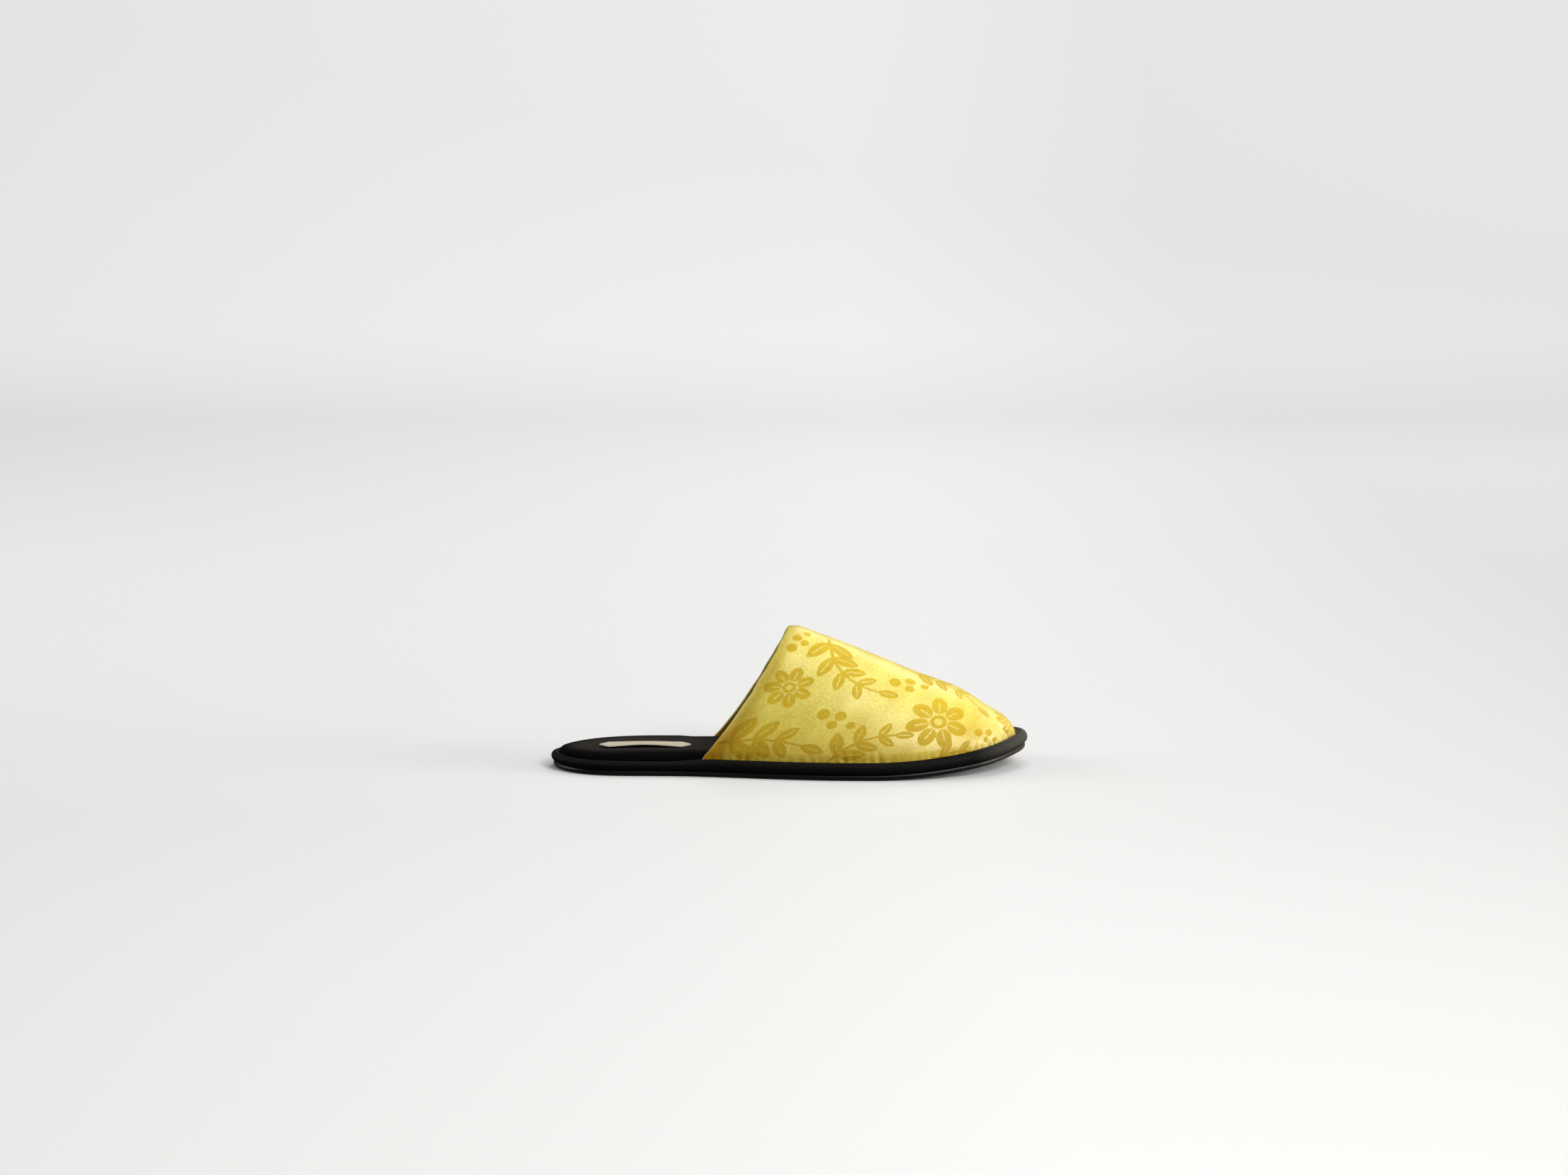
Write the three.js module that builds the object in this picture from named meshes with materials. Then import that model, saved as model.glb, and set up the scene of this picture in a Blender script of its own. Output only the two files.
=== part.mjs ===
// A closed-toe slide slipper for the right foot, in millimetres.
// +X points to the toe, +Y to the inner (medial) side of the foot and +Z up.
// The origin lies on the floor, under the middle of the slipper.
//
// It is made as such slippers are: a thin rubber outsole, a platform edge bound in ribbed tape,
// a padded insole inside that binding, a padded cloth upper whose foot is sewn into the groove
// between binding and insole, and a blank cloth label on the heel seat.
import * as THREE from "three";

// Driving dimensions
const LENGTH = 272.4; // heel to toe, measured along the sole before the toe is lifted
const TOE_SPRING = 9.8; // lift of the sole's underside at the tip of the toe
const SPRING_START = 0.66; // share of the length where the toe begins to lift
const SPRING_POWER = 1.8; // how late the toe's lift comes
const HEEL_LIFT = 0.8; // lift of the sole's underside at the back of the heel
const HEEL_LIFT_END = 0.055; // share of the length where the heel meets the floor
const OUTSOLE_THICKNESS = 3.2;
const PLATFORM_BASE = 3.5; // height where binding and insole start, just clear of the outsole
const SEAT_GAP = 0.35; // clearance where two curved pieces meet
const WALL = 2.2; // upper: satin, padding and lining together
const LEDGE_HEIGHT = 7.4; // ledge inside the binding that the upper is sewn to
const UPPER_INSET = 4.6; // from the binding's outer edge to the foot of the upper
const TOE_SPREAD = 1.32; // how much wider the edge's section is in front of the toes
const TOE_SPREAD_START = 0.8; // share of the length where it begins to widen
const OUTLINE_POINTS = 120; // around the sole

// Plan of the sole, at the widest line of the edge binding. A row gives both half-widths at one
// station, a share of the length from the heel.
const SOLE_PLAN = [
  { at: 0.028, lateral: 19.0, medial: 17.5 },
  { at: 0.09, lateral: 31.0, medial: 30.0 },
  { at: 0.18, lateral: 34.6, medial: 34.2 },
  { at: 0.29, lateral: 36.0, medial: 34.2 },
  { at: 0.4, lateral: 41.0, medial: 35.0 },
  { at: 0.51, lateral: 46.5, medial: 38.5 },
  { at: 0.63, lateral: 49.6, medial: 43.3 },
  { at: 0.74, lateral: 48.4, medial: 45.6 },
  { at: 0.84, lateral: 41.6, medial: 44.2 },
  { at: 0.92, lateral: 29.4, medial: 38.4 },
  { at: 0.975, lateral: 11.0, medial: 27.5 },
];
const HEEL_TIP_Y = 0;
const TOE_TIP_Y = 7;

// Section of the outsole's edge: how far in from the plan, and how high above the underside.
const OUTSOLE_EDGE = [
  { inset: 3.4, height: 0 },
  { inset: 2.1, height: 0.4 },
  { inset: 1.6, height: 1.6 },
  { inset: 1.6, height: 2.5 },
  { inset: 2.2, height: OUTSOLE_THICKNESS },
];

// Closed section of the edge binding, from its lower outer corner over the roll to the groove
// and along the ledge under the foot of the upper. The last column is the share of the drop that
// a point takes round the heel, where no upper holds the roll up.
const BINDING_SECTION = [
  { inset: 1.5, height: PLATFORM_BASE, drop: 0 },
  { inset: 0.45, height: 4.5, drop: 0 },
  { inset: 0, height: 6.3, drop: 0.1 },
  { inset: 0.2, height: 8.1, drop: 0.6 },
  { inset: 1.0, height: 9.6, drop: 0.9 },
  { inset: 2.2, height: 10.2, drop: 1 },
  { inset: 3.4, height: 9.8, drop: 0.9 },
  { inset: 4.2, height: 8.7, drop: 0.5 },
  { inset: 4.2, height: LEDGE_HEIGHT, drop: 0 },
  { inset: 6.9, height: LEDGE_HEIGHT, drop: 0 },
  { inset: 6.9, height: PLATFORM_BASE, drop: 0 },
];
const HEEL_DROP = 1.7; // how much lower the roll lies round the heel
const HEEL_DROP_END = { from: 0.25, to: 0.34 }; // stations where it rises to its full height

// Padded insole. Its core fills the binding. On the heel its cushion covers the ledge, and
// under the upper it draws back to leave room for the wall.
const CORE_INSET = 7.25;
const CUSHION_INSET = 4.5;
const CUSHION_INSET_COVERED = 7.45;
const CUSHION_FLANK = [
  { inward: 0, height: LEDGE_HEIGHT + SEAT_GAP },
  { inward: 0, height: 9.0 },
  { inward: 0.5, height: 10.6 },
  { inward: 1.5, height: 11.9 },
  { inward: 3.4, height: 12.8 },
  { inward: 7, height: 13.2 },
  { inward: 14, height: 13.0 },
];
const SEAT_HEIGHT = CUSHION_FLANK.at(-1).height;
const HEEL_THINNING = 0.2; // share of the cushion's rise that is lost at the back of the heel
const HEEL_THINNING_END = 0.22; // station where the cushion reaches its full height

// Ridge of the upper, from the throat to the toe: height above the floor and sideways place.
const RIDGE = [
  { at: 0.499, height: 81.9, medial: 0 },
  { at: 0.56, height: 75.8, medial: 0.6 },
  { at: 0.63, height: 68.4, medial: 1.4 },
  { at: 0.714, height: 58.9, medial: 2.6 },
  { at: 0.785, height: 50.9, medial: 3.8 },
  { at: 0.857, height: 43.2, medial: 5.0 },
  { at: 0.91, height: 33.8, medial: 5.9 },
  { at: 0.95, height: 25.2, medial: 6.6 },
];

// Upper: where its foot starts and turns, and the shape of its arch.
const COLLAR_LATERAL = 0.314; // station of the collar's outer corner
const COLLAR_MEDIAL = 0.323; // station of the collar's inner corner
const TOE_ARC_START = 0.925; // station where the foot of the upper turns across the toe
const ARCH_FULLNESS = 2.35; // 2 is an ellipse, more is squarer
const TOE_FULLNESS = 2.0;
const COLLAR_DIP = 2.4; // how far the collar's edge bows towards the toe at mid height
const CORNER_FLARE = 3.0; // how far the collar's inner corner runs back beyond the edge above it
const FLARE_REACH = 0.06; // share of the collar's height that the flare takes
const COLLAR_ROLL = 2.0; // how far the padded collar rolls in
const ROLL_REACH = 0.045; // share of the upper's length that the roll takes
const ROLL_ROWS = 3;
const UPPER_ROWS = 27;
const UPPER_COLUMNS = 32;

// Blank cloth label on the heel seat: a long strip with pointed ends, sewn down at both ends. Its
// middle bows up, more at the outer edge than at the inner one.
const LABEL = { length: 51.6, width: 14, thickness: 0.6, point: 4.8, outerBow: 1.3, innerBow: 0.4 };
const LABEL_AT = { x: -82, y: -8 };
const LABEL_ROWS = 12;

const MATERIALS = {
  rubber: new THREE.MeshStandardMaterial({ color: 0x1b1a19, roughness: 0.5, metalness: 0 }),
  ribbed: new THREE.MeshStandardMaterial({ color: 0x151513, roughness: 0.7, metalness: 0 }),
  sock: new THREE.MeshStandardMaterial({ color: 0x1d1b19, roughness: 0.95, metalness: 0 }),
  satin: new THREE.MeshStandardMaterial({ color: 0xdcc04a, roughness: 0.4, metalness: 0 }),
  label: new THREE.MeshStandardMaterial({ color: 0xd8cdb4, roughness: 0.8, metalness: 0 }),
};

const { lerp, smoothstep } = THREE.MathUtils;
const clamp01 = (value) => THREE.MathUtils.clamp(value, 0, 1);

// A natural cubic spline: the function that passes through (knots[i], values[i]).
function spline(knots, values) {
  const last = knots.length - 1;
  const bend = new Array(last + 1).fill(0);
  const carry = new Array(last + 1).fill(0);
  for (let i = 1; i < last; i++) {
    const before = knots[i] - knots[i - 1];
    const after = knots[i + 1] - knots[i];
    const pull = (values[i + 1] - values[i]) / after - (values[i] - values[i - 1]) / before;
    const pivot = 2 * (before + after) - before * carry[i - 1];
    carry[i] = after / pivot;
    bend[i] = (6 * pull - before * bend[i - 1]) / pivot;
  }
  for (let i = last - 1; i > 0; i--) bend[i] -= carry[i] * bend[i + 1];
  return (at) => {
    let i = 0;
    while (i < last - 1 && at > knots[i + 1]) i++;
    const span = knots[i + 1] - knots[i];
    const b = (at - knots[i]) / span;
    const a = 1 - b;
    const sag = ((a ** 3 - a) * bend[i] + (b ** 3 - b) * bend[i + 1]) * (span ** 2 / 6);
    return a * values[i] + b * values[i + 1] + sag;
  };
}

// A curve through points, as one function of its running length, with that length.
function curveThrough(points) {
  const run = [0];
  for (let i = 1; i < points.length; i++) {
    run.push(run[i - 1] + points[i].distanceTo(points[i - 1]));
  }
  const axes = ["x", "y", "z"].map((axis) => spline(run, points.map((p) => p[axis])));
  const at = (length) => new THREE.Vector3(...axes.map((axis) => axis(length)));
  return { at, run };
}

// Evenly spaced places along one stretch of a curve.
function evenStops(curve, from, to, count) {
  const SAMPLES = 600;
  const places = [];
  const lengths = [0];
  for (let i = 0; i <= SAMPLES; i++) places.push(lerp(from, to, i / SAMPLES));
  for (let i = 1; i <= SAMPLES; i++) {
    lengths.push(lengths[i - 1] + curve.at(places[i]).distanceTo(curve.at(places[i - 1])));
  }
  const place = spline(lengths, places);
  return Array.from({ length: count + 1 }, (_, i) => place((lengths[SAMPLES] * i) / count));
}

// The plan as one closed curve: share 0 at the heel, along the outer side to the toe at 0.5,
// and back along the inner side. Each half is shared out evenly by its own length.
function makePlan() {
  const station = (at) => (at - 0.5) * LENGTH;
  const heel = new THREE.Vector3(station(0), HEEL_TIP_Y, 0);
  const toe = new THREE.Vector3(station(1), TOE_TIP_Y, 0);
  const outer = SOLE_PLAN.map((row) => new THREE.Vector3(station(row.at), -row.lateral, 0));
  const inner = SOLE_PLAN.map((row) => new THREE.Vector3(station(row.at), row.medial, 0));
  inner.reverse();
  const loop = [heel, ...outer, toe, ...inner];
  const WRAP = 5; // points repeated past each end, so that the curve closes smoothly
  const curve = curveThrough([...loop.slice(-WRAP), ...loop, ...loop.slice(0, WRAP + 1)]);
  const start = curve.run[WRAP];
  const middle = curve.run[WRAP + outer.length + 1];
  const end = curve.run[WRAP + loop.length];
  const HALF_STOPS = 200;
  const stops = [
    ...evenStops(curve, start, middle, HALF_STOPS),
    ...evenStops(curve, middle, end, HALF_STOPS).slice(1),
  ];
  const stop = spline(stops.map((_, i) => i / (2 * HALF_STOPS)), stops);
  const NUDGE = 0.01;
  return (share) => {
    const place = stop(share - Math.floor(share));
    const point = curve.at(place);
    const along = curve.at(place + NUDGE).sub(curve.at(place - NUDGE)).normalize();
    return { point, out: new THREE.Vector3(along.y, -along.x, 0) };
  };
}
const plan = makePlan();

// Height of the sole's underside, which is flat from heel to ball.
function lift(x) {
  const at = x / LENGTH + 0.5;
  const toe = Math.max(0, (at - SPRING_START) / (1 - SPRING_START));
  const heel = Math.max(0, (HEEL_LIFT_END - at) / HEEL_LIFT_END);
  return TOE_SPRING * toe ** SPRING_POWER + HEEL_LIFT * heel ** 2;
}

// A point of the bent sole: plan place, and height measured square to the underside.
function onSole(x, y, height) {
  const NUDGE = 0.5;
  const slope = (lift(x + NUDGE) - lift(x - NUDGE)) / (2 * NUDGE);
  const square = 1 / Math.hypot(1, slope);
  return new THREE.Vector3(x - slope * square * height, y, lift(x) + square * height);
}

// A point of the edge's section. Insets widen in front of the toes, and depth doesn't.
function onEdge(share, inset, height, depth = 0) {
  const { point, out } = plan(share);
  const toe = smoothstep(point.x / LENGTH + 0.5, TOE_SPREAD_START, 1);
  const inwards = inset * lerp(1, TOE_SPREAD, toe) + depth;
  return onSole(point.x - out.x * inwards, point.y - out.y * inwards, height);
}

// Faces of a grid of points, outward where rows cross columns by the right-hand rule.
class Skin {
  constructor() {
    this.points = [];
    this.faces = [];
  }
  row(points) {
    const first = this.points.length;
    this.points.push(...points);
    return points.map((_, i) => first + i);
  }
  quad(a, b, c, d) {
    this.faces.push(a, b, c, a, c, d);
  }
  strip(lower, upper, closed) {
    const count = closed ? lower.length : lower.length - 1;
    for (let i = 0; i < count; i++) {
      const next = (i + 1) % lower.length;
      this.quad(lower[i], lower[next], upper[next], upper[i]);
    }
  }
  // Closes a ring that starts at the heel with rungs across the foot.
  rungs(ring) {
    const half = ring.length / 2;
    const far = (i) => ring[ring.length - i];
    this.faces.push(ring[0], ring[1], far(1));
    for (let i = 1; i + 1 < half; i++) this.quad(ring[i], ring[i + 1], far(i + 1), far(i));
    this.faces.push(ring[half - 1], ring[half], far(half - 1));
  }
  geometry() {
    const made = new THREE.BufferGeometry();
    made.setFromPoints(this.points);
    made.setIndex(this.faces);
    made.computeVertexNormals();
    return made;
  }
}

const shares = Array.from({ length: OUTLINE_POINTS }, (_, i) => i / OUTLINE_POINTS);
const edgeRing = (row) => shares.map((share) => onEdge(share, row.inset, row.height));

// A solid whose rings run from the underside, out round the edge and in over the top.
function stackedSolid(edges) {
  const skin = new Skin();
  const rings = edges.map((edge) => skin.row(edge));
  for (let i = 1; i < rings.length; i++) skin.strip(rings[i - 1], rings[i], true);
  const count = OUTLINE_POINTS;
  skin.rungs(rings[0].map((_, i) => rings[0][(count - i) % count]));
  skin.rungs(rings.at(-1));
  return skin.geometry();
}

// The binding is one closed loop of its own section.
function bindingLoop() {
  const skin = new Skin();
  const bindingPoint = (share, row) => {
    const at = plan(share).point.x / LENGTH + 0.5;
    const heel = 1 - smoothstep(at, HEEL_DROP_END.from, HEEL_DROP_END.to);
    return onEdge(share, row.inset, row.height - HEEL_DROP * row.drop * heel);
  };
  const rings = BINDING_SECTION.map((row) =>
    skin.row(shares.map((share) => bindingPoint(share, row))),
  );
  rings.forEach((ring, i) => skin.strip(ring, rings[(i + 1) % rings.length], true));
  return skin.geometry();
}

// The insole: a plain core, and above it the flank and crown of the cushion.
function insolePad() {
  const TUCK = { start: 0.05, end: 0.016 }; // where it draws back, as shares before the collar
  const seat = LEDGE_HEIGHT + SEAT_GAP;
  const cushionPoint = (share, row) => {
    const at = plan(share).point.x / LENGTH + 0.5;
    const covered = smoothstep(at, COLLAR_LATERAL - TUCK.start, COLLAR_LATERAL - TUCK.end);
    const side = lerp(CUSHION_INSET, CUSHION_INSET_COVERED, covered);
    const full = lerp(1 - HEEL_THINNING, 1, smoothstep(at, 0, HEEL_THINNING_END));
    return onEdge(share, side, lerp(seat, row.height, full), row.inward);
  };
  return stackedSolid([
    edgeRing({ inset: CORE_INSET, height: PLATFORM_BASE }),
    edgeRing({ inset: CORE_INSET, height: seat }),
    ...CUSHION_FLANK.map((row) => shares.map((share) => cushionPoint(share, row))),
  ]);
}

// Two grids of equal size, the outer and the inner face of a wall, closed along their rim.
// Rows of points in lip, if there are any, round off the rim between the first rows.
function wallSolid(outer, inner, lip = []) {
  const skin = new Skin();
  const out = outer.map((row) => skin.row(row));
  const inn = inner.map((row) => skin.row(row));
  const edge = [out[0], ...lip.map((row) => skin.row(row)), inn[0]];
  const last = out[0].length - 1;
  for (let i = 1; i < out.length; i++) {
    skin.strip(out[i], out[i - 1], false);
    skin.strip(inn[i - 1], inn[i], false);
    skin.quad(out[i - 1][0], inn[i - 1][0], inn[i][0], out[i][0]);
    skin.quad(inn[i - 1][last], out[i - 1][last], out[i][last], inn[i][last]);
  }
  for (let i = 1; i < edge.length; i++) skin.strip(edge[i - 1], edge[i], false);
  skin.strip(inn.at(-1), out.at(-1), false);
  for (const end of [0, last]) {
    for (let i = 1; i + 1 < edge.length; i++) {
      const fan = [edge[0][end], edge[i][end], edge[i + 1][end]];
      skin.faces.push(...(end === 0 ? fan : fan.reverse()));
    }
  }
  return skin.geometry();
}

// Share of the plan where one side reaches a station.
function shareAt(at, side) {
  let low = 0;
  let high = 0.5;
  for (let i = 0; i < 40; i++) {
    const middle = (low + high) / 2;
    const x = plan(side === "lateral" ? middle : 1 - middle).point.x;
    if (x < (at - 0.5) * LENGTH) low = middle;
    else high = middle;
  }
  return side === "lateral" ? low : 1 - low;
}

// Foot of the upper: it stands on the binding's ledge.
const footPoint = (share, depth) => onEdge(share, UPPER_INSET, LEDGE_HEIGHT + SEAT_GAP, depth);

// The upper is a fan of arches that all lean forward. The first is the collar, the last lies
// along the foot of the upper across the toe.
function makeArches() {
  const from = {
    lateral: shareAt(COLLAR_LATERAL, "lateral"),
    medial: shareAt(COLLAR_MEDIAL, "medial"),
  };
  const to = {
    lateral: shareAt(TOE_ARC_START, "lateral"),
    medial: shareAt(TOE_ARC_START, "medial"),
  };
  const tip = footPoint(0.5, 0);
  const ridgePoints = RIDGE.map(
    (row) => new THREE.Vector3((row.at - 0.5) * LENGTH, row.medial, row.height),
  );
  const ridge = curveThrough([...ridgePoints, tip]);
  const ridgeLength = ridge.run.at(-1);

  const arch = (k, v) => {
    const a = footPoint(lerp(from.lateral, to.lateral, k), 0);
    const b = footPoint(lerp(from.medial, to.medial, k), 0);
    const top = ridge.at(ridgeLength * k);
    const middle = a.clone().add(b).multiplyScalar(0.5);
    const power = 2 / lerp(ARCH_FULLNESS, TOE_FULLNESS, k ** 2);
    const cos = Math.cos(Math.PI * v);
    const across = Math.sign(cos) * Math.abs(cos) ** power;
    const up = Math.abs(Math.sin(Math.PI * v)) ** power;
    const dip = COLLAR_DIP * 4 * up * (1 - up);
    const flare = v > 0.5 ? CORNER_FLARE * (1 - Math.exp(-up / FLARE_REACH)) * (1 - up) : 0;
    return middle
      .clone()
      .addScaledVector(a.sub(b), across / 2)
      .addScaledVector(top.sub(middle), up)
      .add(new THREE.Vector3((dip + flare) * (1 - k) ** 3, 0, 0));
  };
  // What takes the last arch on to the foot line across the toe.
  const toeFoot = (v, depth) => footPoint(lerp(to.lateral, to.medial, v), depth);
  const settle = (v) => toeFoot(v, 0).sub(arch(1, v));
  const surface = (k, v) => arch(k, v).addScaledVector(settle(v), k ** 4);
  const innerFoot = (k, v) => {
    if (k === 1) return toeFoot(v, WALL);
    const side = v === 0 ? "lateral" : "medial";
    return footPoint(lerp(from[side], to[side], k), WALL);
  };
  return { surface, innerFoot };
}

function upperWall() {
  const { surface, innerFoot } = makeArches();
  const NUDGE = 0.002;
  const outward = (k, v) => {
    const along = surface(k + NUDGE, v).sub(surface(k - NUDGE, v));
    const across = surface(k, v + NUDGE).sub(surface(k, v - NUDGE));
    return along.cross(across).normalize();
  };
  const rolled = (k, v, depth) => {
    const sides = clamp01(Math.sin(Math.PI * v) * 4);
    const roll = COLLAR_ROLL * clamp01(1 - k / ROLL_REACH) ** 2 * sides;
    return surface(k, v).addScaledVector(outward(k, v), -roll - depth);
  };
  const plain = Array.from(
    { length: UPPER_ROWS + 1 },
    (_, i) => ROLL_REACH + ((1 - ROLL_REACH) * i) / UPPER_ROWS,
  );
  const roll = Array.from({ length: ROLL_ROWS }, (_, i) => (ROLL_REACH * i) / ROLL_ROWS);
  const rows = [...roll, ...plain];
  const columns = Array.from({ length: UPPER_COLUMNS + 1 }, (_, i) => i / UPPER_COLUMNS);
  const isFoot = (k, v) => v === 0 || v === 1 || k === 1;
  const outer = rows.map((k) => columns.map((v) => (isFoot(k, v) ? surface(k, v) : rolled(k, v, 0))));
  const inner = rows.map((k) =>
    columns.map((v) => (isFoot(k, v) ? innerFoot(k, v) : rolled(k, v, WALL))),
  );
  const LIP = 0.3; // how far the collar's rounded edge stands out, as a share of the wall
  const lip = columns.map((v, i) => {
    const back = outer[0][i].clone().sub(outer[1][i]).normalize();
    return outer[0][i].clone().lerp(inner[0][i], 0.5).addScaledVector(back, WALL * LIP);
  });
  return wallSolid(outer, inner, [lip]);
}

// The label lies on the insole's flat middle and bows up between its sewn ends.
function labelStrip() {
  const rows = Array.from({ length: LABEL_ROWS + 1 }, (_, i) => (2 * i) / LABEL_ROWS - 1);
  const TIP = 0.08; // half-width left at a point, as a share of the full one
  const face = (rise) =>
    rows.map((along) => {
      const toEnd = ((1 - Math.abs(along)) * LABEL.length) / 2;
      const half = (LABEL.width / 2) * lerp(TIP, 1, clamp01(toEnd / LABEL.point));
      const x = LABEL_AT.x + (along * LABEL.length) / 2;
      const bow = Math.cos((Math.PI / 2) * along) ** 2;
      return [-1, 0, 1].map((side) => {
        const edgeBow = lerp(LABEL.outerBow, LABEL.innerBow, (side + 1) / 2);
        const height = SEAT_HEIGHT + SEAT_GAP + edgeBow * bow + rise;
        return onSole(x, LABEL_AT.y + side * half, height);
      });
    });
  return wallSolid(face(LABEL.thickness), face(0));
}

function piece(name, geometry, material) {
  const mesh = new THREE.Mesh(geometry, material);
  mesh.name = name;
  return mesh;
}

const slipper = new THREE.Group();
slipper.add(
  piece("outsole", stackedSolid(OUTSOLE_EDGE.map(edgeRing)), MATERIALS.rubber),
  piece("edge_binding", bindingLoop(), MATERIALS.ribbed),
  piece("insole", insolePad(), MATERIALS.sock),
  piece("upper", upperWall(), MATERIALS.satin),
  piece("heel_label", labelStrip(), MATERIALS.label),
);
const box = new THREE.Box3().setFromObject(slipper);
const middle = box.getCenter(new THREE.Vector3());
slipper.position.set(-middle.x, -middle.y, -box.min.z);

export default slipper;
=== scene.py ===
# Looks of a closed-toe slide slipper for the right foot: satin upper, ribbed edge, felt insole.
import math

import bpy
import numpy as np
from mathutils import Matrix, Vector


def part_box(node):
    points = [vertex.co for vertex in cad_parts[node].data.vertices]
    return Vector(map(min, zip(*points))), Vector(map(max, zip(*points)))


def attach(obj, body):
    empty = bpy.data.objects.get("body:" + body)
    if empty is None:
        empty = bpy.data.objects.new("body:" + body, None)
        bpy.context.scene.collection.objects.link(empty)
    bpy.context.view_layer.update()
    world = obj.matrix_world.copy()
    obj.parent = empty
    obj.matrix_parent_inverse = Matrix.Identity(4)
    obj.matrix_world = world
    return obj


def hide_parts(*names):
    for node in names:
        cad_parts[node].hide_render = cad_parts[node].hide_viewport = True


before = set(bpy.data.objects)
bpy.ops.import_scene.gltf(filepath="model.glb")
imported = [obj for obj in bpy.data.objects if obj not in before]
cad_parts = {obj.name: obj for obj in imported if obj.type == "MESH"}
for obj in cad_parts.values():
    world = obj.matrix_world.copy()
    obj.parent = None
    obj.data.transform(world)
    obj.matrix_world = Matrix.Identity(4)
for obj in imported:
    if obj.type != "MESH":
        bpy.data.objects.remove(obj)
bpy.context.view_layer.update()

# Sizes of the slipper, in millimetres. A station is a share of the length from the heel.
MM = 0.001
LENGTH = 272.4
TOE_SPRING = 9.8
SPRING_START = 0.66
SPRING_POWER = 1.8
HEEL_LIFT = 0.8
HEEL_LIFT_END = 0.055
OUTSOLE_THICKNESS = 3.2
PLATFORM_BASE = 3.5
SEAT_GAP = 0.35
WALL = 2.2
LEDGE_HEIGHT = 7.4
UPPER_INSET = 4.6
TOE_SPREAD = 1.32
TOE_SPREAD_START = 0.8

# Plan of the sole: station, outer half-width, inner half-width.
SOLE_PLAN = [
    (0.028, 19.0, 17.5),
    (0.09, 31.0, 30.0),
    (0.18, 34.6, 34.2),
    (0.29, 36.0, 34.2),
    (0.4, 41.0, 35.0),
    (0.51, 46.5, 38.5),
    (0.63, 49.6, 43.3),
    (0.74, 48.4, 45.6),
    (0.84, 41.6, 44.2),
    (0.92, 29.4, 38.4),
    (0.975, 11.0, 27.5),
]
HEEL_TIP_Y = 0
TOE_TIP_Y = 7

# Edge sections: inset from the plan, height above the underside. A point of the binding's roll
# also has its share of the drop round the heel, where no upper holds the roll up.
OUTSOLE_EDGE = [(3.4, 0), (2.1, 0.4), (1.6, 1.6), (1.6, 2.5), (2.2, OUTSOLE_THICKNESS)]
BINDING_ROLL = [
    (1.5, PLATFORM_BASE, 0),
    (0.45, 4.5, 0),
    (0, 6.3, 0.1),
    (0.2, 8.1, 0.6),
    (1.0, 9.6, 0.9),
    (2.2, 10.2, 1),
    (3.4, 9.8, 0.9),
    (4.2, 8.7, 0.5),
]
BINDING_LEDGE = [(4.2, LEDGE_HEIGHT), (6.9, LEDGE_HEIGHT), (6.9, PLATFORM_BASE)]
HEEL_DROP = 1.7
HEEL_DROP_END = (0.25, 0.34)
CORE_INSET = 7.25
CUSHION_INSET = 4.5
CUSHION_INSET_COVERED = 7.45
CUSHION_TUCK = (0.05, 0.016)
# Flank of the cushion: distance inwards, height.
CUSHION_FLANK = [
    (0, LEDGE_HEIGHT + SEAT_GAP),
    (0, 9.0),
    (0.5, 10.6),
    (1.5, 11.9),
    (3.4, 12.8),
    (7, 13.2),
    (14, 13.0),
]
SEAT_HEIGHT = CUSHION_FLANK[-1][1]
HEEL_THINNING = 0.2
HEEL_THINNING_END = 0.22

# Ridge of the upper: station, height, distance to the inner side.
RIDGE = [
    (0.499, 81.9, 0),
    (0.56, 75.8, 0.6),
    (0.63, 68.4, 1.4),
    (0.714, 58.9, 2.6),
    (0.785, 50.9, 3.8),
    (0.857, 43.2, 5.0),
    (0.91, 33.8, 5.9),
    (0.95, 25.2, 6.6),
]
COLLAR_LATERAL = 0.314
COLLAR_MEDIAL = 0.323
TOE_ARC_START = 0.925
ARCH_FULLNESS = 2.35
TOE_FULLNESS = 2.0
COLLAR_DIP = 2.4
CORNER_FLARE = 3.0
FLARE_REACH = 0.06
COLLAR_ROLL = 2.0
ROLL_REACH = 0.045

# Label: sizes, length of a point, bow of its middle at either edge, place on the insole.
LABEL = dict(length=51.6, width=14, thickness=0.6, point=4.8, outer_bow=1.3, inner_bow=0.4, x=-82, y=-8)

# Camera, from the photo: 36 mm sensor, image 2212 by 1658.
CAMERA_AT = (-0.0033, -1.87085, 0.34674)
CAMERA_TILT = 7.442
CAMERA_LENS = 76.84


# Shape of the sole and the upper

def smoothstep(x, low, high):
    t = np.clip((x - low) / (high - low), 0, 1)
    return t * t * (3 - 2 * t)


def unit(vectors):
    return vectors / np.maximum(np.linalg.norm(vectors, axis=-1, keepdims=True), 1e-9)


def running_length(points):
    steps = np.linalg.norm(np.diff(points, axis=0), axis=-1)
    return np.concatenate([np.zeros_like(steps[:1]), np.cumsum(steps, axis=0)])


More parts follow.
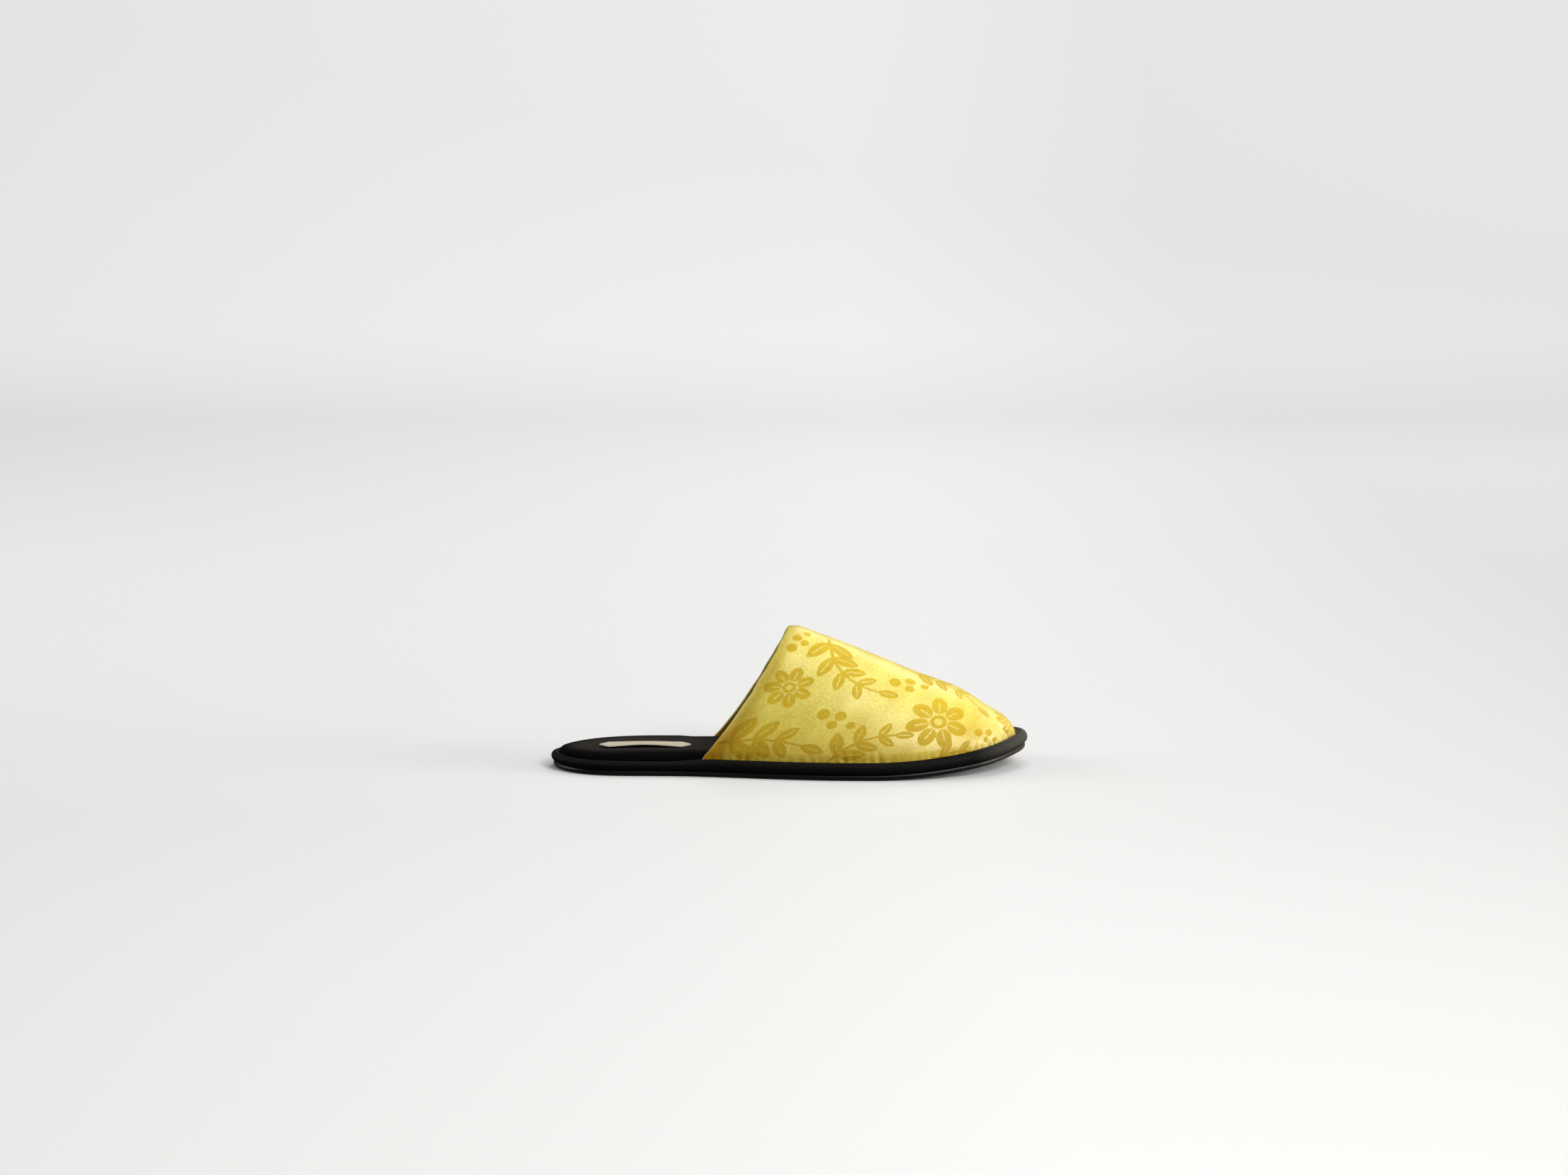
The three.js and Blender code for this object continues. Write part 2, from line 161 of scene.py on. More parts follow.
class Curve:
    """A natural cubic curve through points."""

    def __init__(self, points):
        self.points = np.asarray(points, float)
        self.run = running_length(self.points)
        span = np.diff(self.run)
        slope = np.diff(self.points, axis=0) / span[:, None]
        system = np.eye(len(self.run))
        pull = np.zeros_like(self.points)
        for i in range(1, len(span)):
            system[i, i - 1 : i + 2] = span[i - 1], 2 * (span[i - 1] + span[i]), span[i]
            pull[i] = 6 * (slope[i] - slope[i - 1])
        self.bend = np.linalg.solve(system, pull)

    def __call__(self, at):
        at = np.asarray(at, float)
        i = np.searchsorted(self.run[1:-1], at)
        span = (self.run[i + 1] - self.run[i])[..., None]
        b = (at - self.run[i])[..., None] / span
        a = 1 - b
        sag = ((a**3 - a) * self.bend[i] + (b**3 - b) * self.bend[i + 1]) * span**2 / 6
        return a * self.points[i] + b * self.points[i + 1] + sag

    def even(self, first, last, count):
        places = np.linspace(first, last, 601)
        lengths = running_length(self(places))
        return np.interp(np.linspace(0, lengths[-1], count + 1), lengths, places)


def make_plan():
    outer = [((at - 0.5) * LENGTH, -lateral) for at, lateral, _ in SOLE_PLAN]
    inner = [((at - 0.5) * LENGTH, medial) for at, _, medial in reversed(SOLE_PLAN)]
    loop = [(-LENGTH / 2, HEEL_TIP_Y), *outer, (LENGTH / 2, TOE_TIP_Y), *inner]
    wrap = 5
    curve = Curve(loop[-wrap:] + loop + loop[: wrap + 1])
    start = curve.run[wrap]
    middle = curve.run[wrap + len(outer) + 1]
    end = curve.run[wrap + len(loop)]
    half = 200
    stops = np.append(curve.even(start, middle, half), curve.even(middle, end, half)[1:])
    shares = np.linspace(0, 1, 2 * half + 1)
    nudge = 0.01

    def plan(share):
        place = np.interp(np.asarray(share, float) % 1, shares, stops)
        along = unit(curve(place + nudge) - curve(place - nudge))
        return curve(place), np.stack([along[..., 1], -along[..., 0]], -1)

    return plan


plan = make_plan()
AROUND = running_length(plan(np.linspace(0, 1, 2001))[0])[-1]


def lift(x):
    at = x / LENGTH + 0.5
    toe = np.maximum(0, (at - SPRING_START) / (1 - SPRING_START))
    heel = np.maximum(0, (HEEL_LIFT_END - at) / HEEL_LIFT_END)
    return TOE_SPRING * toe**SPRING_POWER + HEEL_LIFT * heel**2


def on_sole(flat, height):
    """Points above the bent sole: plan places, and heights square to the underside."""
    x, y = flat[..., 0], flat[..., 1]
    nudge = 0.5
    slope = (lift(x + nudge) - lift(x - nudge)) / (2 * nudge)
    square = 1 / np.hypot(1, slope)
    return np.stack([x - slope * square * height, y, lift(x) + square * height], -1)


def in_plan(share, inset, depth=0.0):
    point, out = plan(share)
    toe = smoothstep(point[..., 0] / LENGTH + 0.5, TOE_SPREAD_START, 1)
    inwards = inset * (1 + (TOE_SPREAD - 1) * toe) + depth
    return point - out * inwards[..., None]


def on_edge(share, inset, height, depth=0.0):
    return on_sole(in_plan(share, inset, depth), height)


OUTLINE_POINTS = 120


def frame_shift():
    """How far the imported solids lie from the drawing's own middle."""
    shares = np.arange(OUTLINE_POINTS) / OUTLINE_POINTS
    drawn = np.concatenate([on_edge(shares, inset, height) for inset, height, _ in BINDING_ROLL])
    low, high = (np.array(corner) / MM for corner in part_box("edge_binding"))
    return (low + high) / 2 - (drawn.min(0) + drawn.max(0)) / 2


SHIFT = frame_shift() * (1, 1, 0)


def share_at(station, side):
    halves = np.linspace(0, 0.5, 2001)
    shares = halves if side == "lateral" else 1 - halves
    x = plan(shares)[0][:, 0]
    return np.interp((station - 0.5) * LENGTH, x, shares)


FOOT_FROM = {
    "lateral": share_at(COLLAR_LATERAL, "lateral"),
    "medial": share_at(COLLAR_MEDIAL, "medial"),
}
FOOT_TO = {side: share_at(TOE_ARC_START, side) for side in ("lateral", "medial")}


def foot_point(share, depth=0.0):
    return on_edge(share, UPPER_INSET, LEDGE_HEIGHT + SEAT_GAP, depth)


def side_share(side, k):
    return FOOT_FROM[side] + (FOOT_TO[side] - FOOT_FROM[side]) * k


def toe_share(v):
    return FOOT_TO["lateral"] + (FOOT_TO["medial"] - FOOT_TO["lateral"]) * v


RIDGE_CURVE = Curve(
    [((at - 0.5) * LENGTH, medial, height) for at, height, medial in RIDGE] + [foot_point(0.5)]
)


def arch(k, v):
    """One of the fan of arches: k from collar to toe, v from the outer foot over to the inner."""
    a = foot_point(side_share("lateral", k))
    b = foot_point(side_share("medial", k))
    top = RIDGE_CURVE(RIDGE_CURVE.run[-1] * k)
    middle = (a + b) / 2
    power = 2 / (ARCH_FULLNESS + (TOE_FULLNESS - ARCH_FULLNESS) * k**2)
    cos = np.cos(np.pi * v)
    across = np.sign(cos) * np.abs(cos) ** power
    up = np.abs(np.sin(np.pi * v)) ** power
    dip = COLLAR_DIP * 4 * up * (1 - up)
    flare = np.where(v > 0.5, CORNER_FLARE * (1 - np.exp(-up / FLARE_REACH)) * (1 - up), 0)
    point = middle + (a - b) * (across / 2)[..., None] + (top - middle) * up[..., None]
    point[..., 0] += (dip + flare) * (1 - k) ** 3
    return point


def upper_surface(k, v):
    settle = foot_point(toe_share(v)) - arch(np.ones_like(v), v)
    return arch(k, v) + settle * (k**4)[..., None]


# Making meshes

def deselect():
    bpy.ops.object.select_all(action="DESELECT")


def pulled_sheet(name, points):
    """A grid primitive pulled on to rows of points."""
    rows, columns = points.shape[:2]
    deselect()
    bpy.ops.mesh.primitive_grid_add(x_subdivisions=columns - 1, y_subdivisions=rows - 1, size=1)
    piece = bpy.context.object
    piece.name = piece.data.name = name
    places = (points + SHIFT) * MM
    piece.data.vertices.foreach_set("co", places.astype(np.float32).ravel())
    return piece


MERGE_GAP = 2e-6


def sew(piece):
    """Merges edges that meet and turns all faces outwards."""
    bpy.ops.object.mode_set(mode="EDIT")
    bpy.ops.mesh.select_all(action="SELECT")
    bpy.ops.mesh.remove_doubles(threshold=MERGE_GAP)
    bpy.ops.mesh.select_all(action="SELECT")
    bpy.ops.mesh.normals_make_consistent(inside=False)
    bpy.ops.object.mode_set(mode="OBJECT")
    bpy.ops.object.shade_smooth()
    return piece


def set_uv(piece, name, uv):
    """A map of the flat cloth, in decimetres, on a piece that is still a plain grid."""
    layer = piece.data.uv_layers[0]
    layer.name = name
    corners = np.empty(len(piece.data.loops), np.int32)
    piece.data.loops.foreach_get("vertex_index", corners)
    layer.data.foreach_set("uv", uv.reshape(-1, 2)[corners].astype(np.float32).ravel())


def set_values(piece, name, values):
    attribute = piece.data.attributes.new(name, "FLOAT", "POINT")
    attribute.data.foreach_set("value", values.astype(np.float32).ravel())


def add_modifier(piece, kind, **settings):
    bpy.context.view_layer.objects.active = piece
    modifier = piece.modifiers.new(kind.lower(), kind)
    for key, value in settings.items():
        setattr(modifier, key, value)
    bpy.ops.object.modifier_apply(modifier=modifier.name)


def dress(piece, slot, *finishes):
    for finish in finishes:
        piece.data.materials.append(finish)
    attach(piece, "root")
    return piece


# Shader building

class Value:
    """A shader socket that takes part in sums."""

    def __init__(self, finish, socket):
        self.finish = finish
        self.socket = socket

    def math(self, operation, a, b=0.0, clamp=False):
        return self.finish.node("Math", dict(operation=operation, use_clamp=clamp), {0: a, 1: b})

    def __add__(self, other):
        return self.math("ADD", self, other)

    def __sub__(self, other):
        return self.math("SUBTRACT", self, other)

    def __rsub__(self, other):
        return self.math("SUBTRACT", other, self)

    def __mul__(self, other):
        return self.math("MULTIPLY", self, other)

    def __truediv__(self, other):
        return self.math("DIVIDE", self, other)

    __radd__ = __add__
    __rmul__ = __mul__

    def clamped(self):
        return self.math("ADD", self, 0.0, clamp=True)

    def size(self):
        return self.math("ABSOLUTE", self)

    def power(self, exponent):
        return self.math("POWER", self, exponent)


def linear(red, green, blue):
    """A display colour, 0 to 255, as a shader takes it."""
    shares = [c / 255 for c in (red, green, blue)]
    return (*(c / 12.92 if c <= 0.04045 else ((c + 0.055) / 1.055) ** 2.4 for c in shares), 1.0)


# Rise of the painted highlight towards the toe: how fast per metre, and how much is taken off first.
TOE_FADE_RATE = 30
TOE_FADE_OFFSET = 3.1


class Finish:
    """A procedural material."""

    def __init__(self, name):
        self.material = bpy.data.materials.new(name)
        self.material.use_nodes = True
        self.tree = self.material.node_tree
        self.tree.nodes.remove(self.tree.nodes["Principled BSDF"])

    def fill(self, node, sockets):
        for key, value in sockets.items():
            if isinstance(value, Value):
                self.tree.links.new(value.socket, node.inputs[key])
            else:
                node.inputs[key].default_value = value

    def node(self, kind, settings, sockets, output=0):
        made = self.tree.nodes.new("ShaderNode" + kind)
        for key, value in settings.items():
            setattr(made, key, value)
        self.fill(made, sockets)
        return Value(self, made.outputs[output])

    def place(self):
        return self.node("TexCoord", {}, {}, "Object")

    def cloth(self):
        return self.node("UVMap", dict(uv_map="cloth"), {})

    def toe_light(self, place):
        """Rises from 0 to 1 over the last few centimetres before the tip of the toe, where it marks the
        painted highlight.
        """
        along = self.node("SeparateXYZ", {}, {0: place}, "X")
        return (along * TOE_FADE_RATE - TOE_FADE_OFFSET).clamped()

    def attribute(self, name):
        return self.node("Attribute", dict(attribute_name=name), {}, "Fac")

    def turned(self, vector, degrees, scale):
        """A flat pattern's place: turned, and stretched along its own two directions."""
        rotation = (0.0, 0.0, math.radians(degrees))
        return self.node("Mapping", {}, {"Vector": vector, "Rotation": rotation, "Scale": scale})

    def noise(self, vector, scale, detail):
        return self.node("TexNoise", {}, {"Vector": vector, "Scale": scale, "Detail": detail})

    def mix(self, factor, a, b):
        """Colour a where the factor is 0, and b where it is 1."""
        return self.node("Mix", dict(data_type="RGBA"), {0: factor, 6: a, 7: b}, 2)

    def bump(self, height, distance):
        return self.node("Bump", {}, {"Height": height, "Distance": distance, "Strength": 1.0})

    def principled(self, **sockets):
        named = {key.replace("_", " "): value for key, value in sockets.items()}
        return self.node("BsdfPrincipled", {}, named)

    def shown(self, shader):
        self.fill(self.tree.nodes["Material Output"], {"Surface": shader})
        return self.material

    def surface(self, **sockets):
        return self.shown(self.principled(**sockets))


# Finishes

# Weave of the satin: turn in degrees, and scale along and across that direction.
SATIN_FLOATS = (35, (320, 190, 1))
SATIN_SLUB = (-20, (75, 55, 1))
SATIN_CLOUD = (60, (9, 5, 1))
FIGURE_STEPS = (0, (120, 120, 1))
# The figure's edge and outline, in millimetres: roughness, softness and outline's width.
FIGURE_ROUGHNESS = 0.9
FIGURE_SOFTNESS = 0.4
OUTLINE_WIDTH = 0.45
# Painted shade on the satin, darker and deeper in colour near the seam and inside the collar's edge, in
# millimetres: its reach above the seam, the height over which the collar's painted shade weakens, and
# how far from the collar's edge that painted shade lies and reaches.
SEAM_SHADE = 34
LOW_SHADE = 55
COLLAR_SHADE_AT = 3.5
COLLAR_SHADE = 9
SATIN_BUMP = 0.00012


def satin_finish():
    """Satin whose ground has a lemon sheen and whose woven figure is duller and deeper."""
    finish = Finish("figured_satin")
    cloth = finish.cloth()
    floats = finish.noise(finish.turned(cloth, *SATIN_FLOATS), 1.0, 2.0)
    slub = finish.noise(finish.turned(cloth, *SATIN_SLUB), 1.0, 2.0)
    cloud = finish.noise(finish.turned(cloth, *SATIN_CLOUD), 1.0, 2.0)
    grain = (floats * 2.0 + slub * 1.0 + cloud * 0.8 - 1.4).clamped()
    steps = finish.noise(finish.turned(cloth, *FIGURE_STEPS), 1.0, 1.0) - 0.5
    edge = finish.attribute("figure") + steps * FIGURE_ROUGHNESS
    mask = (0.5 - edge / FIGURE_SOFTNESS).clamped()
    outline = (1 - (edge / OUTLINE_WIDTH).size()).clamped() * (floats * 3.2 - 1.2).clamped()
    bump = finish.bump(mask * -0.6 + floats * 0.55 + slub * 0.4, SATIN_BUMP)
    # seam and collar below make a painted shade: the satin is darkened near the seam and inside the
    # collar's edge, more so low on the wall and less towards the toe.
    height = finish.attribute("seam")
    seam = (1 - height / SEAM_SHADE).clamped().power(1.4)
    low = (1.2 - height / LOW_SHADE).clamped()
    inside = (finish.attribute("collar") - COLLAR_SHADE_AT) / COLLAR_SHADE
    collar = (1 - inside.size()).clamped()
    toe = finish.toe_light(finish.place())
    painted_shade = (seam * 0.62 * (1 - toe * 0.85) + collar * (0.25 + low * 0.45)).clamped()
    ground = finish.mix(grain, linear(196, 168, 26), linear(242, 230, 112))
    ground = finish.mix(outline * 0.6, ground, linear(168, 126, 16))
    # Painted shade: ground and figure are darkened towards a deep mustard.
    ground = finish.mix(painted_shade, ground, linear(160, 120, 0))
    # Towards the toe, ground and figure are painted paler: painted highlight.
    ground = finish.mix(toe * 0.45, ground, linear(252, 242, 180))
    figured = finish.mix(grain, linear(184, 152, 18), linear(210, 182, 44))
    figured = finish.mix(painted_shade, figured, linear(140, 100, 0))
    figured = finish.mix(toe * 0.2, figured, linear(246, 226, 140))
    colour = finish.mix(mask, ground, figured)
    # Where the painted shade lies, the cloth is also made matte.
    dull = (mask + painted_shade * 0.8).clamped()
    satin = finish.principled(
        Base_Color=colour,
        Roughness=0.3 + floats * 0.16,
        Normal=bump,
        Specular_IOR_Level=1.0,
        Specular_Tint=(1.0, 1.0, 0.95, 1.0),
    )
    matte = finish.principled(
        Base_Color=colour,
        Roughness=0.5 + floats * 0.2,
        Normal=bump,
        Specular_IOR_Level=0.22,
    )
    return finish.shown(finish.node("MixShader", {}, {0: dull, 1: satin, 2: matte}))


def lining_finish():
    finish = Finish("lining")
    thread = finish.noise(finish.cloth(), 240.0, 2.0)
    # The lining is the upper's real inner face; its darker golden brown is painted shade.
    return finish.surface(
        Base_Color=finish.mix(thread, linear(146, 108, 34), linear(186, 144, 58)),
        Roughness=0.8,
        Normal=finish.bump(thread, 0.0002),
    )


def grosgrain_finish():
    finish = Finish("grosgrain")
    place = finish.place()
    thread = finish.noise(place, 2600.0, 3.0)
    crest = finish.attribute("crest").power(2.0)
    toe = finish.toe_light(place)
    black = finish.mix(thread, linear(1, 1, 1), linear(5, 5, 5))
    # Rib crests are painted lighter, most of all towards the toe, and the toe's tape is painted paler
    # grey: painted highlight.
    black_with_painted_crests = finish.mix(crest * (0.04 + toe * 0.46), black, linear(112, 110, 102))
    return finish.surface(
        Base_Color=finish.mix(toe * 0.3, black_with_painted_crests, linear(100, 98, 92)),
        Roughness=0.4 + thread * 0.2,
        Normal=finish.bump(thread, 0.00012),
        Specular_IOR_Level=0.07,
    )


def felt_finish():
    finish = Finish("napped_felt")
    place = finish.place()
    nap = finish.noise(place, 900.0, 5.0)
    fleck = (finish.noise(place, 3200.0, 2.0) * 9 - 5.6).clamped()
    worn = finish.noise(place, 22.0, 3.0)
    felt = finish.mix(worn, linear(32, 29, 27), linear(50, 46, 43))
    felt = finish.mix(fleck * 0.3, felt, linear(138, 134, 128))
    # The flank is painted near black: painted shade on the cushion's side.
    return finish.surface(
        Base_Color=finish.mix(finish.attribute("flank"), felt, linear(5, 5, 5)),
        Roughness=0.95,
        Normal=finish.bump(nap, 0.0009),
        Specular_IOR_Level=0.05,
    )


def rubber_finish():
    finish = Finish("moulded_rubber")
    place = finish.place()
    grain = finish.noise(place, 1400.0, 2.0)
    dust = (finish.noise(place, 420.0, 4.0) * 7 - 4.4).clamped()
    toe = finish.toe_light(place)
    # Towards the toe the rubber is painted tan-grey: painted reflection of the floor. The scattered
    # specks are its own dust.
    return finish.surface(
        Base_Color=finish.mix(toe * 0.3 + dust * 0.1, linear(13, 13, 14), linear(124, 112, 100)),
        Roughness=0.3 + grain * 0.15,
        Normal=finish.bump(grain, 0.00006),
        Specular_IOR_Level=0.3,
    )


def label_finish():
    finish = Finish("label_weave")
    cloth = finish.cloth()
    warp = finish.node("TexWave", dict(bands_direction="X"), {"Vector": cloth, "Scale": 60.0})
    weft = finish.node("TexWave", dict(bands_direction="Y"), {"Vector": cloth, "Scale": 60.0})
    tone = finish.noise(cloth, 60.0, 3.0)
    return finish.surface(
        Base_Color=finish.mix(tone, linear(196, 184, 158), linear(226, 217, 196)),
        Roughness=0.75,
        Normal=finish.bump(warp + weft, 0.00012),
    )


def thread_finish():
    finish = Finish("seam_thread")
    twist = finish.noise(finish.place(), 3000.0, 2.0)
    return finish.surface(
        Base_Color=finish.mix(twist, linear(70, 66, 56), linear(150, 142, 120)),
        Roughness=0.7,
    )


# Metres from the slipper over which the floor grows lighter.
FLOOR_DEPTH = 3.2


def floor_finish():
    """A pale floor that glows more towards the back, and is painted a little greyer on the right as
    painted shade.
    """
    finish = Finish("pale_floor")
    place = finish.place()
    tone = finish.noise(place, 1.2, 2.0)
    depth = finish.node("SeparateXYZ", {}, {0: place}, "Y")
    across = finish.node("SeparateXYZ", {}, {0: place}, "X")
    far = (depth / FLOOR_DEPTH + 0.05).clamped()
    right = (across * 2 - 0.2).clamped()
    pale = finish.mix(tone, linear(221, 221, 221), linear(225, 225, 225))
    return finish.surface(
        Base_Color=finish.mix(right, pale, linear(202, 202, 202)),
        Roughness=0.6,
        Specular_IOR_Level=0.1,
        Emission_Color=finish.mix(far, (0, 0, 0, 1), (0.5, 0.5, 0.5, 1)),
        Emission_Strength=1.0,
    )


# Woven figure, in millimetres of flat cloth: s runs from collar to toe, t from the ridge to
# the sides.

# A frond is a bent stem with leaves: its start, heading and bend in degrees, length, leaf length.
FRONDS = [
    dict(s=2, t=-88, heading=30, bend=-34, length=41, leaf=19),
    dict(s=24, t=-6, heading=-78, bend=84, length=52, leaf=17),
    dict(s=60, t=-84, heading=76, bend=-58, length=36, leaf=15),
    dict(s=74, t=-3, heading=-4, bend=-20, length=44, leaf=15),
    dict(s=113, t=-64, heading=62, bend=-40, length=26, leaf=12),
    dict(s=8, t=8, heading=34, bend=-44, length=52, leaf=17),
    dict(s=2, t=90, heading=-26, bend=30, length=48, leaf=18),
    dict(s=60, t=78, heading=-62, bend=62, length=42, leaf=15),
    dict(s=88, t=12, heading=4, bend=22, length=40, leaf=14),
]
# Blossoms: heart, reach of the petals and turn.
BLOSSOMS = [
    dict(s=101, t=-42, reach=18, turn=8),
    dict(s=17, t=-46, reach=13, turn=40),
    dict(s=138, t=-6, reach=11, turn=20),
    dict(s=64, t=44, reach=16, turn=0),
    dict(s=24, t=54, reach=13, turn=30),
    dict(s=112, t=42, reach=15, turn=15),
]
# Sprays of berries: where the first berry lies, heading and size.
BERRIES = [
    dict(s=42, t=-57, heading=-10, size=3.3),
    dict(s=68, t=-24, heading=16, size=3.3),
    dict(s=126, t=-34, heading=24, size=2.7),
    dict(s=7, t=-22, heading=70, size=2.8),
    dict(s=84, t=30, heading=-10, size=3.2),
    dict(s=132, t=24, heading=10, size=2.4),
]
STEM_HALF = 0.85
STEM_TAPER = 0.4
STEM_STEPS = 36
LEAF_SLIMNESS = 0.46
LEAF_SPACING = 11.5
LEAF_ANGLE = 48
LEAF_TAPER = 0.45
FIRST_LEAF = 0.45
END_LEAF = 0.7
VEIN_HALF = 0.4
VEIN_SHARE = 0.62
PETALS = 7
# Parts of a blossom, as shares of its reach: the ring at its heart, petals and their slits.
HEART = dict(at=0.2, half=0.06)
PETAL = dict(at=0.66, long=0.34, wide=0.25)
SLIT = dict(at=0.56, long=0.2)
SLIT_HALF = VEIN_HALF * 1.3
# Berries of a spray: how far along it and aside, in sizes of the first berry.
SPRAY = [(0, 0), (2.6, 0.9), (2.5, -1.1), (5.1, 0.1)]
BERRY_TAPER = 0.1


def turned(s, t, at, degrees):
    """Cloth places as seen from a motif's own start and heading."""
    angle = math.radians(degrees)
    x, y = s - at[0], t - at[1]
    return x * math.cos(angle) + y * math.sin(angle), y * math.cos(angle) - x * math.sin(angle)


def leaf_distance(s, t, at, heading, length):
    """Distance to a pointed leaf with a slit for its vein, negative inside."""
    x, y = turned(s, t, at, heading)
    half = length / 2
    wide = half * LEAF_SLIMNESS
    offset = (half**2 - wide**2) / (2 * wide)
    leaf = np.hypot(x - half, np.abs(y) + offset) - (wide + offset)
    vein = np.maximum(np.abs(y) - VEIN_HALF, np.abs(x - half) - half * VEIN_SHARE)
    return np.maximum(leaf, -vein)


def frond_distance(s, t, frond):
    step = frond["length"] / STEM_STEPS
    heading = frond["heading"] + frond["bend"] * np.linspace(0, 1, STEM_STEPS + 1)
    turns = np.radians(heading[:-1])
    stem_s = frond["s"] + np.append(0, np.cumsum(step * np.cos(turns)))
    stem_t = frond["t"] + np.append(0, np.cumsum(step * np.sin(turns)))
    near = leaf_distance(s, t, (stem_s[-1], stem_t[-1]), heading[-1], frond["leaf"] * END_LEAF)
    for i in range(STEM_STEPS):
        x, y = turned(s, t, (stem_s[i], stem_t[i]), heading[i])
        away = np.hypot(np.maximum(np.maximum(-x, x - step), 0), y)
        near = np.minimum(near, away - STEM_HALF * (1 - STEM_TAPER * i / STEM_STEPS))
    pairs = int(frond["length"] // LEAF_SPACING)
    for pair in range(pairs):
        i = int((pair + FIRST_LEAF) * LEAF_SPACING / step)
        grown = frond["leaf"] * (1 - LEAF_TAPER * pair / pairs)
        for side in (-1, 1):
            towards = heading[i] + side * LEAF_ANGLE
            near = np.minimum(near, leaf_distance(s, t, (stem_s[i], stem_t[i]), towards, grown))
    return near


def blossom_distance(s, t, blossom):
    reach = blossom["reach"]
    at = (blossom["s"], blossom["t"])
    away = np.hypot(s - at[0], t - at[1])
    near = np.abs(away - reach * HEART["at"]) - reach * HEART["half"]
    for petal in range(PETALS):
        angle = blossom["turn"] + 360 * petal / PETALS
        x, y = turned(s, t, at, angle)
        petal_x = (x - reach * PETAL["at"]) / PETAL["long"]
        oval = (np.hypot(petal_x, y / PETAL["wide"]) - reach) * PETAL["wide"]
        slit_x = np.abs(x - reach * SLIT["at"]) - reach * SLIT["long"]
        slit = np.maximum(np.abs(y) - SLIT_HALF, slit_x)
        near = np.minimum(near, np.maximum(oval, -slit))
    return near


def berry_distance(s, t, spray):
    x, y = turned(s, t, (spray["s"], spray["t"]), spray["heading"])
    near = np.full(s.shape, np.inf)
    for berry, (along, aside) in enumerate(SPRAY):
        away = np.hypot(x - along * spray["size"], y - aside * spray["size"])
        near = np.minimum(near, away - spray["size"] * (1 - BERRY_TAPER * berry))
    return near


def figure_distance(s, t):
    """Distance in millimetres to the nearest motif of the woven figure, negative inside."""
    shapes = [frond_distance(s, t, frond) for frond in FRONDS]
    shapes += [blossom_distance(s, t, blossom) for blossom in BLOSSOMS]
    shapes += [berry_distance(s, t, spray) for spray in BERRIES]
    return np.minimum.reduce(shapes)


# Upper

UPPER_ROWS = 196
UPPER_COLUMNS = 228
# Puckers at the toe's seam: share of the plan, depth, width, reach up the wall, lean.
PUCKERS = [
    (0.4050, 0.5, 1.4, 6, 0.1),
    (0.4180, 0.6, 1.3, 7, 0.2),
    (0.4372, 1.3, 1.2, 9, 0.1),
    (0.4436, 1.0, 1.0, 6, -0.1),
    (0.4745, 1.3, 1.2, 12, -0.7),
    (0.5150, 0.7, 1.4, 8, -0.2),
    (0.5330, 0.9, 1.4, 8, 0.1),
]
# Small gathers all along the seam: spacing, depth, width and reach, each with its spread.
GATHER_SPACING = (5.2, 1.8)
GATHER_DEPTH = (0.42, 0.22)
GATHER_WIDTH = (1.2, 0.3)
GATHER_REACH = (5.0, 2.0)
# Soft hollows of the padded wall: place along and across the cloth, length, width, turn, depth.
HOLLOWS = [
    (52, -62, 34, 9, 66, 0.55),
    (84, -58, 30, 10, 74, -0.4),
    (20, -40, 30, 12, 40, 0.4),
    (118, -38, 24, 9, 60, 0.35),
    (30, 48, 36, 12, -50, 0.5),
    (90, 54, 30, 10, -64, 0.45),
]
# Cloth banked up beside a pucker or gather: how high, and how many widths away.
FOLD_BANK = 0.45
FOLD_BANK_AT = 2.2
# Distances from the seam over which folds and hollows begin, and over which the wall's own
# direction turns level towards its foot.
FOLD_RISE = (0.2, 1.6)
HOLLOW_RISE = (1, 8)
FOOT_TURN = 7
LINING_START = 3.0
# Extra roll of the collar's flanks: depth, reach and how late it comes.
FLANK_ROLL = 0.5
FLANK_ROLL_REACH = 9
FLANK_ROLL_POWER = 1.6
# Rounded edge of the collar: how far it stands out, as a share of the wall, and the angles of its
# rows in degrees.
LIP = 0.42
LIP_ANGLES = (90, 55, 125)
# Uneven edge of the collar: height of a wave, its length and its start along the edge.
COLLAR_WAVES = [(0.24, 27, 4), (0.16, 15, 9)]
WAVE_REACH = 10.0
# Cloth swelling out over the seam: how far, where it is full and where it ends.
SEAM_SWELL = 1.2
SWELL_FULL = (7, 10)
SWELL_END = 26


def upper_grid():
    """Places of the outer face, row by row, with their own shares and their flat cloth.

    Columns are spaced evenly along the arch at one middle share of the upper's length.
    """
    middle = 0.3
    k = np.linspace(0, 1, UPPER_ROWS + 1)
    fine = np.linspace(0, 1, 2001)
    span = running_length(arch(np.full_like(fine, middle), fine))
    v = np.interp(np.linspace(0, span[-1], UPPER_COLUMNS + 1), span, fine)
    k, v = np.meshgrid(k, v, indexing="ij")
    places = upper_surface(k, v)
    across = running_length(places.transpose(1, 0, 2)).T
    ridge = np.argmin(np.abs(v[0] - 0.5))
    t = across - across[:, ridge : ridge + 1]
    s = RIDGE_CURVE.run[-1] * k
    return k, v, places, s, t


def outward(places):
    along = np.gradient(places, axis=0)
    across = np.gradient(places, axis=1)
    return unit(np.cross(along, across))


def foot_distance(places):
    """Distance of each place to the foot line, and the plan's share of its nearest point there."""
    shares = np.linspace(FOOT_FROM["lateral"], FOOT_FROM["medial"], 900)
    foot = foot_point(shares)
    flat = places.reshape(-1, 3)
    best = np.empty(len(flat))
    share = np.empty(len(flat))
    batch = 4000
    for start in range(0, len(flat), batch):
        some = slice(start, start + batch)
        away = np.linalg.norm(flat[some, None] - foot[None], axis=-1)
        best[some] = away.min(1)
        share[some] = shares[away.argmin(1)]
    return best.reshape(places.shape[:2]), share.reshape(places.shape[:2])


